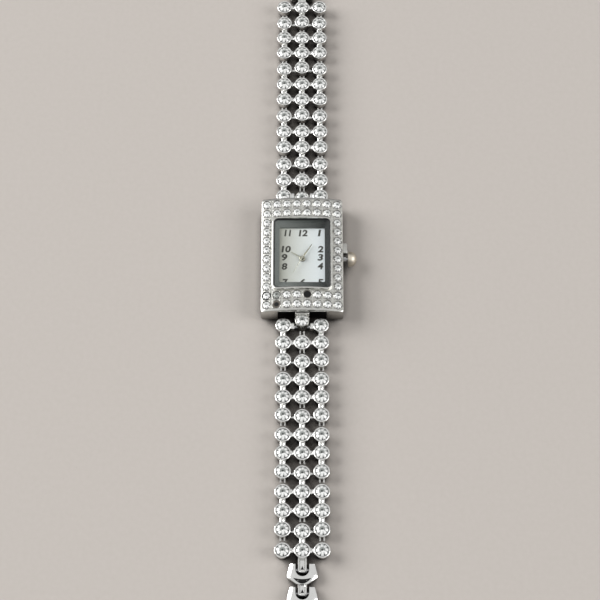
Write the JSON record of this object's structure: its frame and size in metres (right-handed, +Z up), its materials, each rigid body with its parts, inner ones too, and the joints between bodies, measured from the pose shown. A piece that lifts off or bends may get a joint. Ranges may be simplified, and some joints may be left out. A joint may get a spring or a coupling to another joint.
{
  "type": "bracelet watch",
  "caption": "Ladies' dress watch: rectangular stone-set case with an analogue dial on a three-row bracelet of round stone cups, with end links and a fold-over clasp.",
  "frame": {"origin": "centre of the case back's outer face; the bracelet lies open and flat on the same level", "axes": "+X to the crown (3 o'clock), +Y to 12 o'clock along the bracelet, +Z up through the dial"},
  "size_m": [0.0245, 0.2048, 0.0078],
  "materials": {
    "polished_case": "polished silver-tone plate",
    "bracelet_metal": "polished silver-tone plate",
    "brushed_back": "circular brushed",
    "steel_pins": "drawn wire",
    "crown_metal": "fine matte plate",
    "stem_steel": "turned",
    "clear_stone": "faceted clear stone",
    "crystal_glass": "polished mineral glass",
    "seal_rubber": "moulded",
    "grey_ring": "satin dark grey-green",
    "silver_dial": "satin silver white",
    "hand_metal": "satin",
    "holder_plastic": "moulded",
    "movement_brass": "satin",
    "circuit": "printed board",
    "cell_steel": "pressed",
    "copper_wire": "enamelled copper wire"
  },
  "bodies": {
    "head": {"case_body": "polished_case", "case_back": "brushed_back", "back_gasket": "seal_rubber", "pave_stones": "clear_stone", "lug_stones": "clear_stone", "crystal": "crystal_glass", "crystal_gasket": "seal_rubber", "dial_ring": "grey_ring", "dial": "silver_dial", "movement_holder": "holder_plastic", "main_plate": "movement_brass", "train_bridge": "movement_brass", "circuit_block": "circuit", "battery": "cell_steel", "battery_clip": "cell_steel", "coil": "copper_wire", "crown_tube": "stem_steel", "spring_bars": "steel_pins"},
    "strap6_1": {"strap6_bars_1": "bracelet_metal", "strap6_stones_1": "clear_stone"},
    "strap6_2": {"strap6_bars_2": "bracelet_metal", "strap6_stones_2": "clear_stone"},
    "strap6_3": {"strap6_bars_3": "bracelet_metal", "strap6_stones_3": "clear_stone"},
    "strap6_4": {"strap6_bars_4": "bracelet_metal", "strap6_stones_4": "clear_stone"},
    "strap6_5": {"strap6_bars_5": "bracelet_metal", "strap6_stones_5": "clear_stone"},
    "strap12_1": {"strap12_bars_1": "bracelet_metal", "strap12_stones_1": "clear_stone"},
    "strap12_2": {"strap12_bars_2": "bracelet_metal", "strap12_stones_2": "clear_stone"},
    "strap12_3": {"strap12_bars_3": "bracelet_metal", "strap12_stones_3": "clear_stone"},
    "strap12_4": {"strap12_bars_4": "bracelet_metal", "strap12_stones_4": "clear_stone"},
    "strap12_5": {"strap12_bars_5": "bracelet_metal", "strap12_stones_5": "clear_stone"},
    "link6_1": {"end_link6_1": "bracelet_metal", "end_pin6_1": "steel_pins"},
    "link6_2": {"end_link6_2": "bracelet_metal", "end_pin6_2": "steel_pins"},
    "clasp": {"clasp_base": "bracelet_metal", "clasp_link_pin": "steel_pins"},
    "cover": {"clasp_cover": "bracelet_metal", "cover_pin": "steel_pins"},
    "link12": {"end_link12": "bracelet_metal", "end_pin12": "steel_pins"},
    "catch": {"catch_loop": "bracelet_metal", "catch_pin": "steel_pins"},
    "lever": {"setting_lever": "stem_steel"},
    "crown": {"crown": "crown_metal", "stem": "stem_steel", "crown_gasket": "seal_rubber"},
    "minutes": {"minute_hand": "hand_metal"},
    "hours": {"hour_hand": "hand_metal"},
    "seconds": {"second_hand": "hand_metal"},
    "motion_wheel": {"minute_wheel": "movement_brass"}
  },
  "joints": [
    {"name": "lug6_pivot", "type": "hinge", "parent": "head", "child": "strap6_1", "pos_m": [0, -0.01855, 0.0021], "axis": [1, 0, 0], "range_deg": [-20, 35]},
    {"name": "strap6_pivot_1", "type": "hinge", "parent": "strap6_1", "child": "strap6_2", "pos_m": [0, -0.02832, 0.00175], "axis": [1, 0, 0], "range_deg": [-12, 25]},
    {"name": "strap6_pivot_2", "type": "hinge", "parent": "strap6_2", "child": "strap6_3", "pos_m": [0, -0.0431, 0.00175], "axis": [1, 0, 0], "range_deg": [-12, 25]},
    {"name": "strap6_pivot_3", "type": "hinge", "parent": "strap6_3", "child": "strap6_4", "pos_m": [0, -0.05788, 0.00175], "axis": [1, 0, 0], "range_deg": [-12, 25]},
    {"name": "strap6_pivot_4", "type": "hinge", "parent": "strap6_4", "child": "strap6_5", "pos_m": [0, -0.07266, 0.00175], "axis": [1, 0, 0], "range_deg": [-12, 25]},
    {"name": "lug12_pivot", "type": "hinge", "parent": "head", "child": "strap12_1", "pos_m": [0, 0.01855, 0.0021], "axis": [-1, 0, 0], "range_deg": [-20, 35]},
    {"name": "strap12_pivot_1", "type": "hinge", "parent": "strap12_1", "child": "strap12_2", "pos_m": [0, 0.02832, 0.00175], "axis": [-1, 0, 0], "range_deg": [-12, 25]},
    {"name": "strap12_pivot_2", "type": "hinge", "parent": "strap12_2", "child": "strap12_3", "pos_m": [0, 0.0431, 0.00175], "axis": [-1, 0, 0], "range_deg": [-12, 25]},
    {"name": "strap12_pivot_3", "type": "hinge", "parent": "strap12_3", "child": "strap12_4", "pos_m": [0, 0.05788, 0.00175], "axis": [-1, 0, 0], "range_deg": [-12, 25]},
    {"name": "strap12_pivot_4", "type": "hinge", "parent": "strap12_4", "child": "strap12_5", "pos_m": [0, 0.07266, 0.00175], "axis": [-1, 0, 0], "range_deg": [-12, 25]},
    {"name": "link6_pivot_1", "type": "hinge", "parent": "strap6_5", "child": "link6_1", "pos_m": [0, -0.08217, 0.00175], "axis": [1, 0, 0], "range_deg": [-15, 15]},
    {"name": "link6_pivot_2", "type": "hinge", "parent": "link6_1", "child": "link6_2", "pos_m": [0, -0.08787, 0.00175], "axis": [1, 0, 0], "range_deg": [-15, 15]},
    {"name": "clasp_pivot", "type": "hinge", "parent": "link6_2", "child": "clasp", "pos_m": [0, -0.09357, 0.00175], "axis": [1, 0, 0], "range_deg": [-15, 10]},
    {"name": "cover_pivot", "type": "hinge", "parent": "clasp", "child": "cover", "pos_m": [0, -0.10892, 0.00185], "axis": [1, 0, 0], "range_deg": [0, 110]},
    {"name": "link12_pivot", "type": "hinge", "parent": "strap12_5", "child": "link12", "pos_m": [0, 0.08217, 0.00175], "axis": [-1, 0, 0], "range_deg": [-15, 15]},
    {"name": "catch_pivot", "type": "hinge", "parent": "link12", "child": "catch", "pos_m": [0, 0.08787, 0.00175], "axis": [-1, 0, 0], "range_deg": [-15, 15]},
    {"name": "crown_pull", "type": "slide", "parent": "head", "child": "lever", "axis": [1, 0, 0], "range_m": [0, 0.001]},
    {"name": "crown_turn", "type": "hinge", "parent": "lever", "child": "crown", "pos_m": [0.0125, 0, 0.0033], "axis": [1, 0, 0], "continuous": true},
    {"name": "minute_turn", "type": "hinge", "parent": "head", "child": "minutes", "pos_m": [0, -0.00075, 0.005], "axis": [0, 0, -1], "continuous": true},
    {"name": "hour_turn", "type": "hinge", "parent": "head", "child": "hours", "pos_m": [0, -0.00075, 0.005], "axis": [0, 0, -1], "continuous": true},
    {"name": "second_turn", "type": "hinge", "parent": "head", "child": "seconds", "pos_m": [0, -0.00075, 0.005], "axis": [0, 0, -1], "continuous": true},
    {"name": "motion_wheel_turn", "type": "hinge", "parent": "head", "child": "motion_wheel", "pos_m": [-0.0013, 0.0015, 0.0043], "axis": [0, 0, -1], "continuous": true}
  ],
  "couplings": [
    {"joint": "hour_turn", "follows": "minute_turn", "ratio": 0.083333},
    {"joint": "motion_wheel_turn", "follows": "minute_turn", "ratio": -0.33333}
  ]
}
